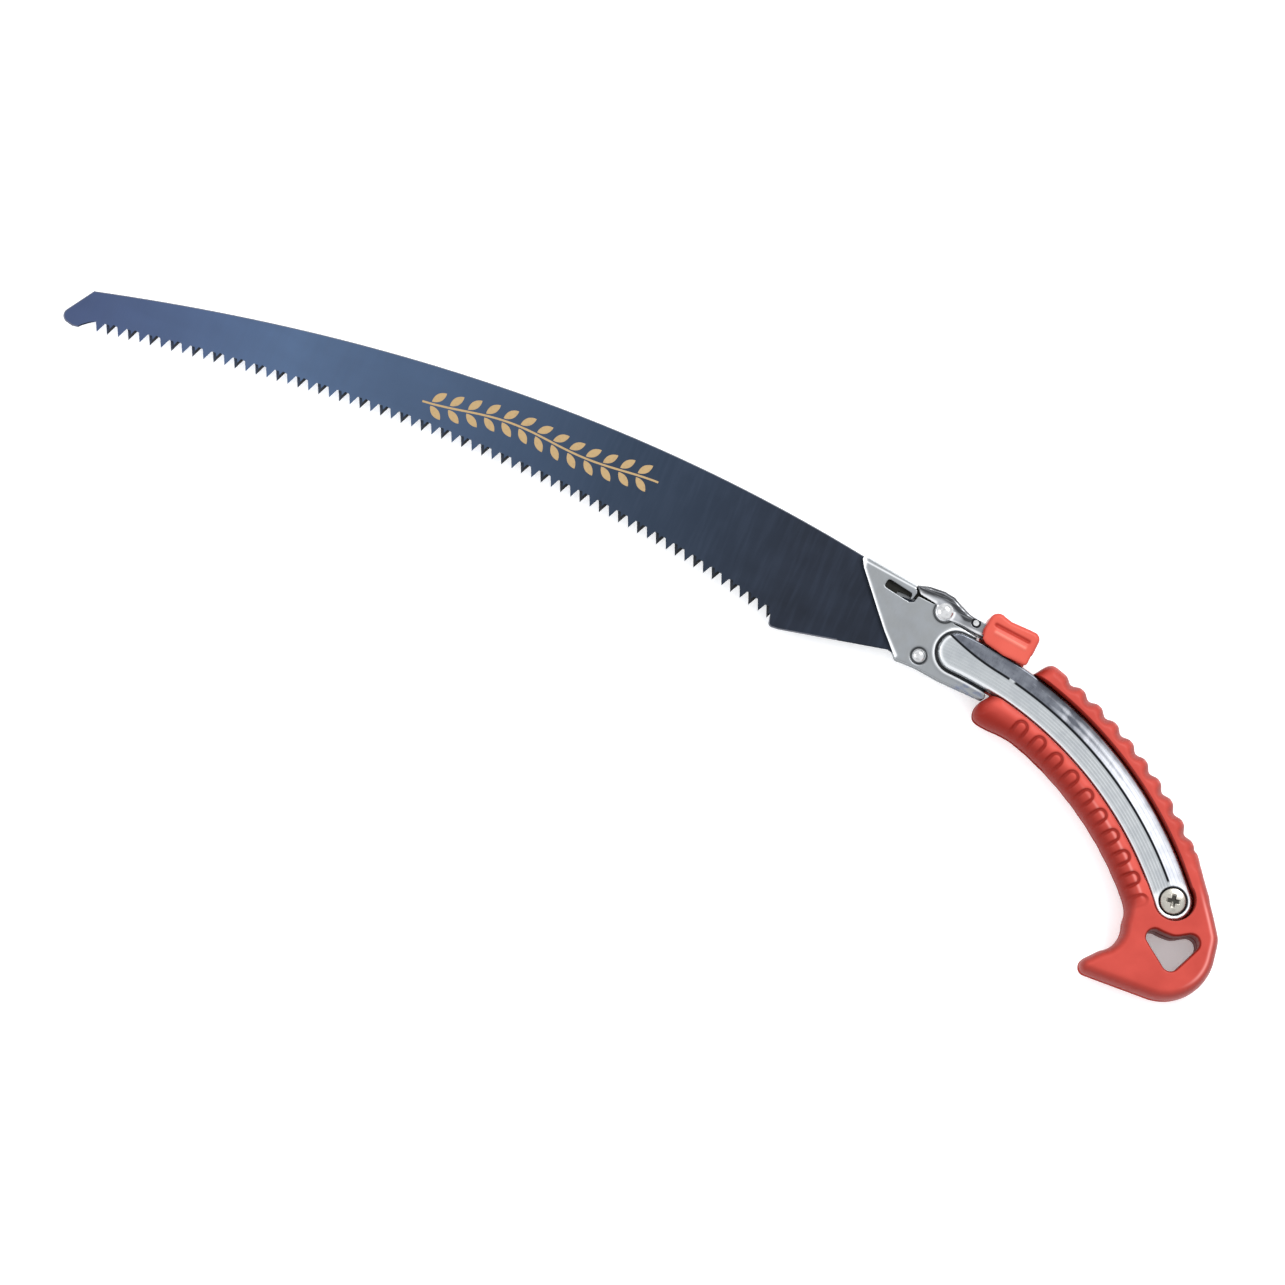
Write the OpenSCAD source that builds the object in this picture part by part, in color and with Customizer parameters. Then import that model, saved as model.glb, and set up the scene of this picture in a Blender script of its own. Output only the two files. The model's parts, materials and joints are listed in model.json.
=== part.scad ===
// Folding pruning saw, shown open and lying on its side.
// The shapes are drawn about the blade's pivot: +X towards the handle, +Y towards the
// blade's back, +Z through the thickness, with the blade in the middle plane z = 0.
// place() then moves the pivot so that the row's origin is under the middle of the saw.
// "left" parts are on the +Z side and "right" parts on the -Z side.

/* [Blade] */
// Length of the toothed edge
cut_len = 330; // [325:1:335]
// Thickness of the blade steel
blade_t = 1.5; // [1.2:0.1:1.6]
// Distance from one tooth to the next
tooth_pitch = 4.8; // [4.2:0.1:5.4]
// Depth of a gullet between two teeth
tooth_depth = 4.6; // [3.8:0.1:5]
// Angle that the blade folds through
fold_angle = 150; // [140:1:150]

/* [Frame] */
// Thickness of the pressed side plates
plate_t = 1.5; // [1.3:0.1:1.6]
// Gap between the two side plates
plate_gap = 2.5; // [2.4:0.1:2.7]
// Radius of the handle's middle line
arm_r = 177; // [176:0.5:178]
// Width of the raised arm of a side plate
arm_w = 18; // [17:0.5:18]
// Height of the arm's crest over the middle plane
arm_h = 7; // [6.5:0.1:7.2]

/* [Grip] */
// Thickness of the whole grip
grip_t = 22; // [21:0.5:24]
// Radius of the finger side of the grip
finger_r = 156.3; // [155.5:0.1:157]
// Radius of the back of the grip
back_r = 195; // [194:0.5:196]
// Number of finger grooves
finger_count = 10; // [8:1:10]
// Number of ribs on the back
rib_count = 9; // [7:1:9]
// Width of the slot that the folded blade lies in
slot_w = 3; // [2.6:0.1:3.4]

/* [Pins and screw] */
// Diameter of the blade pivot's shank
pivot_d = 4; // [3.6:0.1:4.2]
// Head of the rivet that the lever rocks on
lever_head_d = 7.4; // [7:0.1:8]
// Head of the rivet that the blade turns on
pivot_head_d = 5.8; // [5.4:0.1:6.4]
// Diameter of the lever rivet's shank
lever_pin_d = 3.6; // [3.2:0.1:4]
// Diameter of the handle screw's head
screw_head_d = 12; // [11:0.5:12]
// Diameter of the handle screw's shank
screw_d = 5; // [4:0.5:5]

/* [Hidden] */
$fn = 64;

// Clearances
eps = 0.02;
slip = 0.05;
free_gap = 0.15;
open_gap = 0.3;

// The handle's arcs share one centre
arc_c = [10, -169];
arm_in_r = arm_r - arm_w / 2;
arm_out_r = arm_r + arm_w / 2;
arm_front_a = 88.4;
screw_a = 39.9;
screw_at = on_arc(arm_r, screw_a);
arm_front_at = on_arc(arm_r, arm_front_a);
plate_in = plate_gap / 2;
plate_out = plate_in + plate_t;
lever_at = [3, 22.5];

// The blade's long edges are cubic curves of x / 100
heel_x = -68;
tip_x = heel_x - cut_len - 8.7;
nose_y = -12.4;
tang_r = 5.3;

// The grip's pommel and hook
heel_ball_c = [150.5, -76.2];
heel_ball_r = 23;
hook_nose_c = [122.4, -96.8];
hook_nose_r = 4.1;
hook_root_c = [118.5, -78.3];
hook_root_r = 11.6;

// Placement of the pivot in the row's frame
spine_top = 38.3;
pommel_bottom = hook_nose_c[1] - hook_nose_r;
pommel_right = heel_ball_c[0] + heel_ball_r;
pivot_place = [-(tip_x + pommel_right) / 2, -(spine_top + pommel_bottom) / 2, grip_t / 2];

function on_arc(r, a) = [arc_c[0] + r * cos(a), arc_c[1] + r * sin(a)];
function arc(c, r, a0, a1, n) =
    [for (i = [0 : n]) let (a = a0 + (a1 - a0) * i / n) [c[0] + r * cos(a), c[1] + r * sin(a)]];
function spine_y(x) = let (u = x / 100) 24.7 - 19.4 * u - 7.1 * u * u - 0.19 * u * u * u;
function belly_y(x) = 0.47 + 0.237 * x;
function tooth_y(x) = let (u = x / 100) -32 - 37.3 * u - 11.1 * u * u - 0.68 * u * u * u;

module place() translate(pivot_place) children();
// A flat piece between two heights
module slab(z0, z1) translate([0, 0, z0]) linear_extrude(z1 - z0) children();
// The same piece on the left or, mirrored, on the right
module side(left) if (left) children(); else mirror([0, 0, 1]) children();
// A round piece along Z
module rod(at, d, z0, z1) translate([at[0], at[1], z0]) cylinder(d = d, h = z1 - z0);
// A profile of (radius, z) points swept about the handle's centre
module sweep(a0, a1) translate(arc_c) rotate([0, 0, a0]) rotate_extrude(angle = a1 - a0, $fn = 180) children();
// A ring sector seen from above
module band(r0, r1, a0, a1, n) polygon(concat(arc(arc_c, r1, a0, a1, n), arc(arc_c, r0, a1, a0, n)));

// ---------------------------------------------------------------- blade

tooth_count = floor(cut_len / tooth_pitch) - 1;
function tooth_points() = [
    for (i = [0 : tooth_count])
        let (x = heel_x - 0.5 - i * tooth_pitch, g = x - tooth_pitch / 2)
        for (p = [
            [x, tooth_y(x)],
            [g + 0.3, tooth_y(g) + tooth_depth],
            [g - 0.3, tooth_y(g) + tooth_depth]
        ]) p
];
function spine_points() = [
    for (i = [0 : 24]) let (x = tip_x + 8.5 + (-38 - tip_x - 8.5) * i / 24) [x, spine_y(x)]
];
// The tang: its rear edge meets the stop, and its step holds the pawl's tooth
function tang_points() = concat(
    [[-34, 29.6], [-27.3, 28.6], [-27.3, 19.3], [-19.7, 19.3], [-16.5, 21.6], [-6, 22.1], [-1.3, 16.9], [5.4, 15.8],
        [7.4, 12], [7.4, 8], [6.2, 4]],
    arc([0, 0], tang_r, 0, -125, 14),
    [[-9, -3.6], [-13.8, belly_y(-13.8)]]
);
module blade_outline() polygon(concat(
    spine_points(),
    tang_points(),
    [[-62, belly_y(-62)]],
    arc([-64.8, -12.2], 2.3, -70, -150, 4),
    tooth_points(),
    [[tip_x + 11.5, nose_y + 0.2], [tip_x + 8.5, nose_y - 4.1]],
    arc([tip_x + 3.4, nose_y - 0.4], 3.4, -100, -220, 8)
));
module blade() place() color([0.25, 0.31, 0.42]) difference() {
    slab(-blade_t / 2, blade_t / 2) blade_outline();
    rod([0, 0], bush_d, -blade_t, blade_t);
}
bush_d = pivot_d + 2;
module blade_bush() place() color([0.75, 0.6, 0.3]) difference() {
    rod([0, 0], bush_d, -blade_t / 2, blade_t / 2);
    rod([0, 0], pivot_d + 2 * eps, -blade_t, blade_t);
}
module pivot_washer(left) place() side(left) color([0.9, 0.9, 0.86]) difference() {
    rod([0, 0], 2 * tang_r - 0.4, blade_t / 2 + slip, plate_in - slip);
    rod([0, 0], pivot_d + 2 * slip, 0, plate_in);
}
module pivot_washer_left() pivot_washer(true);
module pivot_washer_right() pivot_washer(false);
// A solid rivet whose two heads are shallow domes
module rivet(at, shank_d, grip_half, head_d, head_h) {
    rod(at, shank_d, -grip_half - eps, grip_half + eps);
    for (left = [true, false])
        side(left) translate([at[0], at[1], grip_half]) intersection() {
            ball_r = (pow(head_d / 2, 2) + pow(head_h, 2)) / (2 * head_h);
            translate([0, 0, head_h - ball_r]) sphere(r = ball_r);
            cylinder(d = head_d + 1, h = head_h + 1);
        }
}
module pivot_rivet() place() color([0.8, 0.8, 0.8]) rivet([0, 0], pivot_d, plate_out, pivot_head_d, 1.5);

// ---------------------------------------------------------------- frame

// The cheek that holds the blade, with the tail under the grip's front end
module cheek_outline() polygon(concat(
    [[-37.6, 26.2]],
    arc([-38.3, 30], 1.4, 200, 80, 6),
    [[-13.2, 28.4], [-10.6, 24.4], [-3, 24]],
    arc(lever_at, 5.2, 150, 20, 10),
    [[9, 19.5], [10, 14], [24, 0], [32.5, -2]],
    arc([32.3, -5.2], 1.8, 10, -80, 5),
    [[12.2, -6.6], [1, -5.5], [-6, -5.6]],
    arc([-8, -3.6], 2.2, -100, -150, 4),
    [[-18.5, 4.1], [-25.4, 12], [-32.5, 20.3]]
));
// Half of the arm's raised section, as [distance from its middle line, share of its height]
arm_section = [[0, 1], [3, 0.97], [5.5, 0.9], [7.2, 0.74], [8.1, 0.45], [8.7, 0.12]];
arm_rise = arm_h - plate_out;
arm_outer = concat(
    [for (p = arm_section) [p[0], plate_out + p[1] * arm_rise]],
    [[arm_w / 2, plate_out], [arm_w / 2, plate_in], [0, plate_in]]
);
hollow_w = arm_w / 2 - plate_t;
hollow_z = arm_h - plate_t;
arm_inner = [
    [0, hollow_z], [4, hollow_z - 0.2], [hollow_w - 1.6, hollow_z - 1.1], [hollow_w - 0.3, plate_out - 0.2],
    [hollow_w, plate_in - 1], [0, plate_in - 1]
];
// The other half of a section, without the points on its middle line
function flipped(points) = [for (i = [len(points) - 1 : -1 : 0]) if (points[i][0] > 0) [-points[i][0], points[i][1]]];
// A section carried along the handle, with round ends that are a little smaller
cap_scale = 0.985;
cap_drop = 0.06;
module arm_body(half) {
    sweep(screw_a, arm_front_a) polygon([for (p = concat(half, flipped(half))) [arm_r + p[0], p[1]]]);
    for (at = [arm_front_at, screw_at])
        translate(at) rotate_extrude()
            polygon([for (p = half) [p[0] * cap_scale, p[1] > plate_in ? p[1] - cap_drop : p[1]]]);
}
// What the arm leaves open in the flat cheek
module hollow_outline() {
    translate(arc_c) difference() {
        circle(r = arm_r + hollow_w + 0.6, $fn = 360);
        circle(r = arm_r - hollow_w - 0.6, $fn = 360);
        translate([-400, -400]) square([400 + arm_front_at[0] - arc_c[0], 800]);
    }
    translate(arm_front_at) circle(r = hollow_w + 0.6);
}
dimple_z = arm_h - 3;
dimple_floor_r = hollow_w + 0.4;
// Half length, half height and corner radius of the window in the left cheek
window_at = [-19.6, 23.3];
window_half = [6.3, 2];
window_r = 1.1;
module window_outline() {
    flat = [window_half[0] - window_r, window_half[1] - window_r];
    square([2 * window_half[0], 2 * flat[1]], center = true);
    square([2 * flat[0], 2 * window_half[1]], center = true);
    for (x = [-1, 1], y = [-1, 1])
        translate([x * flat[0], y * flat[1]]) circle(r = window_r);
}
module frame_side(left) place() side(left) color([0.72, 0.73, 0.75]) difference() {
    union() {
        slab(plate_in, plate_out) difference() {
            cheek_outline();
            hollow_outline();
        }
        difference() {
            arm_body(arm_outer);
            arm_body(arm_inner);
        }
        rod(screw_at, 2 * dimple_floor_r, dimple_z - plate_t, dimple_z + 0.2);
    }
    rod(screw_at, screw_head_d + 2 * open_gap, dimple_z, arm_h + 1);
    rod(screw_at, screw_d + 2 * slip, 0, arm_h);
    rod([0, 0], pivot_d + 2 * eps, 0, arm_h);
    rod(lever_at, lever_pin_d + 2 * eps, 0, arm_h);
    if (left) translate(window_at) rotate([0, 0, -9]) slab(0, arm_h) window_outline();
}
module frame_left() frame_side(true);
module frame_right() frame_side(false);

// The steel block in the hollow arms that the tang comes to rest against
stop_half = 4.6;
module blade_stop() place() color([0.45, 0.46, 0.48]) {
    slab(-stop_half, stop_half) band(arm_r - 5.5, arm_r + 5.5, 84, arm_front_a, 6);
    slab(-plate_in + slip, plate_in - slip) polygon([[7.45, 5], [7.45, 13], [16, 13.4], [16, 3]]);
}

// ---------------------------------------------------------------- grip

half_t = grip_t / 2;
finger_front_a = 81.6;
back_front_a = 77.4;
tail_a = 41;
edge_a = 10;
edge_b = 7.4;
edge_power = 2.4;
function edge_in(z, a) = a * (1 - pow(1 - pow(z / half_t, edge_power), 1 / edge_power));
// Both strips are a little thinner than the pommel that they run into
strip_top = half_t - 0.1;
// The strip that the fingers close round, as a rounded section
module finger_section() polygon(concat(
    [for (i = [0 : 8]) let (z = half_t * i / 9) [finger_r + edge_in(z, edge_a), z]],
    [[finger_r + edge_a, strip_top], [arm_in_r + 2, strip_top], [arm_in_r + 2, 0]]
));
// The strip along the back of the hand
module back_section() polygon(concat(
    [for (i = [0 : 8]) let (z = half_t * i / 9) [back_r - edge_in(z, edge_b), z]],
    [[back_r - edge_b, strip_top], [arm_out_r - 2, strip_top], [arm_out_r - 2, 0]]
));
// Pommel and hook, drawn a distance in from their outer edge
module pommel_outline(in) polygon(concat(
    arc(arc_c, back_r - 1.8 - in, 43, 33.2, 5),
    arc(heel_ball_c, heel_ball_r - in, 12, -90, 16),
    arc(hook_nose_c, hook_nose_r - min(in, 2.6), -92, -228, 8),
    arc(hook_root_c, hook_root_r + in, -60, 26, 8),
    [on_arc(finger_r + in + 0.5, 41.6), on_arc(finger_r + 5, 43.5), on_arc(arm_r, 46)]
));
pommel_steps = 5;
module pommel() for (i = [0 : pommel_steps - 1]) {
    z0 = half_t * i / pommel_steps;
    z1 = half_t * (i + 1) / pommel_steps;
    slab(z0, z1) pommel_outline(edge_in((z0 + z1) / 2, 4));
}
// Hanging hole: a heart of three round corners, as [centre, radius, first and last angle]
heart_lobes = [
    [[144.3, -74.2], 3.9, 70, 218],
    [[154.9, -81.4], 4, -138, -20],
    [[159.9, -70.2], 4, -25, 120]
];
heart_notch = [[153.1, -69.9], [150.7, -70.5]];
module heart() polygon(concat(
    [for (lobe = heart_lobes) each arc(lobe[0], lobe[1], lobe[2], lobe[3], 8)],
    heart_notch
));
finger_a0 = 74.5;
finger_step = 3.69;
rib_a0 = 69.6;
rib_step = 3.1;
groove_r = 6;
groove_depth = 0.9;
// The finger grooves run across the strip and end in a rounded front
module finger_grooves() for (i = [0 : finger_count - 1])
    translate(arc_c) rotate([0, 0, finger_a0 - i * finger_step])
        translate([finger_r - 2, 0, half_t - groove_depth + groove_r]) {
            rotate([0, 90, 0]) cylinder(r = groove_r, h = 9);
            translate([9, 0, 0]) sphere(r = groove_r);
        }
// The hollows between the ribs on the back
module rib_gaps() for (i = [0 : rib_count])
    rod(on_arc(back_r + 2.6, rib_a0 - (i - 1) * rib_step), 8.4, -1, half_t + 1);
// All that lies on the blade's side of its folded lower edge
slot_margin = 1.6;
module blade_slot() rotate([0, 0, fold_angle]) polygon(concat(
    [for (x = [-14, heel_x]) [x, belly_y(x) - slot_margin]],
    [for (i = [0 : 15]) let (x = -80 - 16 * i) [x, tooth_y(x) - slot_margin]],
    [[-320, 60], [-14, 60]]
));
// The arm's channel, with a round end that is a little wider than the channel
pocket_end_d = arm_w + 2 * open_gap + 0.6;
module grip_side(left) place() side(left) color([0.82, 0.27, 0.23]) difference() {
    union() {
        sweep(tail_a, finger_front_a) finger_section();
        sweep(tail_a, back_front_a) back_section();
        pommel();
        sweep(tail_a, 83.9) translate([arm_in_r, 0]) square([arm_w, 3]);
    }
    translate([0, -150, -2]) cube([250, 200, 2 + slip / 2]);
    sweep(screw_a, 95) translate([arm_in_r - open_gap, plate_in - slip]) square([arm_w + 2 * open_gap, grip_t]);
    rod(screw_at, pocket_end_d, plate_in - slip, grip_t);
    slab(-1, slot_w / 2) blade_slot();
    rod(screw_at, sleeve_d + 2 * slip, -1, half_t);
    slab(-1, half_t + 1) heart();
    finger_grooves();
    rib_gaps();
}
module grip_left() grip_side(true);
module grip_right() grip_side(false);

// ---------------------------------------------------------------- lock

sheet_t = 1.2;
wall_in = plate_out + 0.25;
wall_out = wall_in + sheet_t;
// The roof ends short of the spring
roof_outer = [[-12.6, 28.8], [-7.4, 30.4], [-0.4, 31.1], [4.7, 30.4], [8.2, 28.6], [13.2, 26.5]];
module lever_wall() union() {
    polygon(concat(
        roof_outer,
        [[16.6, 25.2], [21.5, 25], [40, 25], [40, 19.6], [21.5, 19], [6.6, 19.4], [-2.6, 24], [-10, 25], [-12.6, 27.4]]
    ));
    translate(lever_at) circle(r = 4.6);
}
module lever_roof() polygon(concat(
    roof_outer,
    [for (i = [len(roof_outer) - 1 : -1 : 0]) [roof_outer[i][0], roof_outer[i][1] - sheet_t]]
));
spring_at = [17.6, 23.4];
module lock_lever() place() color([0.8, 0.81, 0.83]) difference() {
    union() {
        for (left = [true, false])
            side(left) slab(wall_in, wall_out) lever_wall();
        slab(-wall_out, wall_out) lever_roof();
    }
    rod(lever_at, lever_pin_d + 2 * slip, -half_t, half_t);
    rod(spring_at, spring_pin_d, -half_t, half_t);
    rod(button_pin_at, button_pin_d, -half_t, half_t);
}
// The pawl between the plates, with the tooth that drops behind the blade's step
sleeve_pawl_d = 6;
pawl_half = plate_in - free_gap;
module lock_pawl() place() color([0.5, 0.5, 0.52]) difference() {
    slab(-pawl_half, pawl_half) union() {
        polygon([[-26.7, 20.1], [-20.2, 20.1], [-19.6, 23.2], [-2, 23.2], [3, 20], [12.5, 20.6], [12.5, 24.6], [4.6, 29],
            [-0.4, 29.8], [-7.4, 29.1], [-12.6, 27.4], [-26.7, 26.6]]);
        translate(lever_at) circle(r = 5);
    }
    rod(lever_at, sleeve_pawl_d + 2 * slip, -2, 2);
}
module lever_sleeve() place() color([0.65, 0.65, 0.67]) difference() {
    rod(lever_at, sleeve_pawl_d, -plate_in, plate_in);
    rod(lever_at, lever_pin_d + 2 * eps, -2, 2);
}
module lever_rivet() place() color([0.8, 0.8, 0.8]) rivet(lever_at, lever_pin_d, wall_out + slip, lever_head_d, 1.6);

// A torsion spring of plain rings joined by a bar, with one leg up to the roof and one towards the frame
wire_d = 0.9;
coil_d = 4.6;
coil_turns = 4;
leg_l = 3.2;
leg_tilt = 8;
module lever_spring() place() color([0.6, 0.6, 0.62]) {
    for (i = [0 : coil_turns - 1])
        translate([spring_at[0], spring_at[1], (i - (coil_turns - 1) / 2) * (wire_d + slip)])
            rotate_extrude() translate([coil_d / 2, 0]) circle(d = wire_d, $fn = 22);
    leg_z = (coil_turns - 1) / 2 * (wire_d + slip);
    rod([spring_at[0] + coil_d / 2, spring_at[1]], wire_d / 2, -leg_z, leg_z);
    for (end = [-1, 1])
        translate([spring_at[0], spring_at[1] + end * coil_d / 2, end * leg_z])
            rotate([0, -90, leg_tilt]) cylinder(d = wire_d, h = leg_l, $fn = 24);
}
spring_pin_d = 2.6;
module spring_pin() place() color([0.7, 0.7, 0.72]) rod(spring_at, spring_pin_d, -wall_out, wall_out);

button_half = 8.6;
button_skin = 1.3;
button_pin_at = [33, 22.4];
button_pin_d = 2.5;
// The thumb cap, drawn a distance in from its surface
module button_outline(in) polygon(concat(
    arc([27.3, 27.9], 3.4 - in, 150, 50, 6),
    [[32, 29.9 - in], [40.7, 29.9 - in]],
    arc([43, 26.4], 3.4 - in, 80, -5, 5),
    arc([43.6, 15.6], 2 - in, -10, -90, 4),
    [[33.8, 13.9 + in], [24.4, 15.9 + in], [22.2 + in, 17.4], [21.6 + in, 22]]
));
module lever_button() place() color([0.92, 0.38, 0.33]) difference() {
    union() {
        difference() {
            slab(-button_half, button_half) button_outline(0);
            slab(-button_half + button_skin, button_half - button_skin) union() {
                button_outline(button_skin);
                translate([20, 10]) square([28, 9.6]);
            }
        }
        slab(-wall_in + slip, wall_in - slip) polygon([[23.5, 20], [42, 20], [42, 29], [25, 29]]);
        for (left = [true, false])
            side(left) slab(wall_out + slip, button_half - 0.5) polygon([[24, 26], [42, 26], [42, 29], [25, 29]]);
    }
    rod(button_pin_at, button_pin_d, -wall_out - 0.5, wall_out + 0.5);
    for (left = [true, false])
        side(left) slab(wall_in - slip, wall_out + slip) translate([20, 18.4]) square([20.4, 6.8]);
}
module button_pin() place() color([0.7, 0.7, 0.72]) rod(button_pin_at, button_pin_d, -wall_out - 0.4, wall_out + 0.4);

// ---------------------------------------------------------------- handle screw

sleeve_d = 8;
head_top = arm_h + 0.3;
// Domed head with a cross recess
module screw_dome(z0) {
    ball_r = 16;
    intersection() {
        rod(screw_at, screw_head_d, z0, head_top);
        translate([screw_at[0], screw_at[1], head_top - ball_r]) sphere(r = ball_r);
    }
}
module cross_recess() for (a = [0, 90])
    translate([screw_at[0], screw_at[1], head_top - 1.5]) rotate([0, 0, a + 12])
        translate([-3, -0.6, 0]) cube([6, 1.2, 3]);
module handle_screw() place() color([0.75, 0.74, 0.72]) difference() {
    union() {
        screw_dome(dimple_z);
        rod(screw_at, screw_d, -dimple_z - 1.1, dimple_z + eps);
    }
    cross_recess();
}
module screw_sleeve() place() color([0.6, 0.6, 0.62]) difference() {
    rod(screw_at, sleeve_d, -dimple_z + plate_t, dimple_z - plate_t);
    rod(screw_at, screw_d + 2 * slip, -5, 5);
}
// The nut is a domed cap whose neck would be threaded on the screw
module barrel_nut() place() color([0.75, 0.74, 0.72]) side(false) difference() {
    screw_dome(dimple_z);
    rod(screw_at, screw_d + 2 * slip, dimple_z - 1, dimple_z + 1.2);
    cross_recess();
}

blade();
blade_bush();
pivot_washer_left();
pivot_washer_right();
pivot_rivet();
frame_left();
frame_right();
blade_stop();
grip_left();
grip_right();
lock_lever();
lock_pawl();
lever_sleeve();
lever_rivet();
lever_spring();
spring_pin();
lever_button();
button_pin();
handle_screw();
screw_sleeve();
barrel_nut();
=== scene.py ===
import json
import math

import bpy
import numpy as np
import openvdb
from mathutils import Matrix, Vector
from mathutils.geometry import tessellate_polygon


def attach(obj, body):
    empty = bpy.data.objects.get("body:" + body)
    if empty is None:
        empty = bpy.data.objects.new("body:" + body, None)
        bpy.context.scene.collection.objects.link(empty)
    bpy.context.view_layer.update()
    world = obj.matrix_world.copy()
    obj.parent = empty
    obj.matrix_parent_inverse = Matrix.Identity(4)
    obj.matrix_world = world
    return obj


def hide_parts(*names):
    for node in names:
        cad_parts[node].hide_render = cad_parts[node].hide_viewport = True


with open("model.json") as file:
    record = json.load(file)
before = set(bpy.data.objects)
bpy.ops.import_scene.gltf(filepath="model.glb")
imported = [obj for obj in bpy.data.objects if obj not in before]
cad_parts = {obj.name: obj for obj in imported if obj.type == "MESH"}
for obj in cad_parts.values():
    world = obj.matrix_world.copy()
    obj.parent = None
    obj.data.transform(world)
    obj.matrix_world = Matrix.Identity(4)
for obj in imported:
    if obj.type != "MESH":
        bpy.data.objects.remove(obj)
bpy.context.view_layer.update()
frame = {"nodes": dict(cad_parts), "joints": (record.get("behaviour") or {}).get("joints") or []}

# Shapes are drawn in millimetres about the blade's pivot, as in the CAD source: +X to the
# handle, +Y to the blade's back, +Z to the left side. PIVOT takes them to the row's frame.
MM = 0.001
PIVOT = np.array(next(j["pos_m"] for j in frame["joints"] if j["name"] == "blade_fold"))

# Numbers that the CAD source gives too
ARC_C = (10.0, -169.0)
ARM_R = 177.0
ARM_W = 18.0
ARM_H = 7.0
ARM_FRONT = 88.4
SCREW_A = 39.9
PLATE_IN = 1.25
PLATE_OUT = 2.75
HALF_T = 11.0
FINGER_R = 156.3
BACK_R = 195.0
LEVER_AT = (3.0, 22.5)
SPRING_AT = (17.6, 23.4)
CAP_PIN_AT = (33, 22.4)
BLADE_HALF = 0.75
HEEL_X = -68.0
TIP_X = -406.68
TOOTH_PITCH = 4.8
TOOTH_DEPTH = 4.6
TOOTH_COUNT = 68
FOLD = 150
BUSH_R = 3.0
TANG_R = 5.3
SLEEVE_R = 4.05


# ------------------------------ outlines


def on_arc(r, a):
    """A point at radius r and angle a about the handle's centre."""
    return (ARC_C[0] + r * math.cos(math.radians(a)), ARC_C[1] + r * math.sin(math.radians(a)))


def round_handle(r, a):
    """The same for arrays, with the angle in radians."""
    return ARC_C[0] + r * np.cos(a), ARC_C[1] + r * np.sin(a)


SCREW_AT = on_arc(ARM_R, SCREW_A)


def around(at, x, y):
    """Distance from a point."""
    return np.hypot(x - at[0], y - at[1])


def arc(c, r, a0, a1, n):
    """Points of an arc about c, in n steps from angle a0 to a1."""
    angles = np.radians(np.linspace(a0, a1, n + 1))
    return [(c[0] + r * math.cos(a), c[1] + r * math.sin(a)) for a in angles]


def polar(x, y):
    """Radius and angle about the handle's centre."""
    dx, dy = x - ARC_C[0], y - ARC_C[1]
    return np.hypot(dx, dy), np.degrees(np.arctan2(dy, dx))


def softened(points, times=2):
    """A closed outline with its corners cut, and cut again."""
    p = np.asarray(points, float)
    for _ in range(times):
        after = np.roll(p, -1, axis=0)
        p = np.stack([0.75 * p + 0.25 * after, 0.25 * p + 0.75 * after], axis=1).reshape(-1, 2)
    return p.tolist()


def outline_distance(points, x, y):
    """Distance from a closed outline, negative inside."""
    best = np.full(x.shape, 1e9)
    inside = np.zeros(x.shape, bool)
    for (ax, ay), (bx, by) in zip(points, points[1:] + points[:1]):
        ex, ey = bx - ax, by - ay
        length2 = ex * ex + ey * ey
        if length2 < 1e-12:
            continue
        t = np.clip(((x - ax) * ex + (y - ay) * ey) / length2, 0, 1)
        best = np.minimum(best, (x - ax - t * ex) ** 2 + (y - ay - t * ey) ** 2)
        if ay != by:
            crosses = (ay <= y) != (by <= y)
            inside ^= crosses & (x < ax + (y - ay) * ex / ey)
    return np.where(inside, -1, 1) * np.sqrt(best)


def path_distance(points, x, y):
    """Distance from an open line of points."""
    best = np.full(x.shape, 1e9)
    for (ax, ay), (bx, by) in zip(points, points[1:]):
        ex, ey = bx - ax, by - ay
        t = np.clip(((x - ax) * ex + (y - ay) * ey) / (ex * ex + ey * ey), 0, 1)
        best = np.minimum(best, np.hypot(x - ax - t * ex, y - ay - t * ey))
    return best


def step(low, high, v):
    """Goes smoothly from 0 at low to 1 at high."""
    t = np.clip((v - low) / (high - low), 0, 1)
    return t * t * (3 - 2 * t)


def bump(v, width):
    """Goes smoothly up to 1 where v is 0, and down again over about that width."""
    return np.exp(-((v / width) ** 2))


# ------------------------------ solids from distances


def join(a, b, k):
    """The union of two shapes, with a fillet of about k."""
    h = np.clip(0.5 + 0.5 * (b - a) / k, 0, 1)
    return b * (1 - h) + a * h - k * h * (1 - h)


def common(a, b, radius):
    """What two shapes share, with the edge between them rounded to radius."""
    u, v = a + radius, b + radius
    return np.minimum(np.maximum(u, v), 0) + np.hypot(np.maximum(u, 0), np.maximum(v, 0)) - radius


def cut(a, b, radius):
    """Shape a without shape b."""
    return common(a, -b, radius)


def domed(d, z, half, edge, power=2.2):
    """A shape of half height half whose top falls to its outline over a width of edge."""
    u = np.maximum(d + edge, 0) / edge
    v = np.abs(z) / half
    return ((u**power + v**power) ** (1 / power) - 1) * min(edge, half)


def block(low, high, size):
    """A block of points: x and y as columns of a grid, and z along the last axis."""
    axes = [np.arange(a, b + size, size) for a, b in zip(low, high)]
    x, y = np.meshgrid(axes[0], axes[1], indexing="ij")
    return x[:, :, None], y[:, :, None], axes[2][None, None, :]


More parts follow.
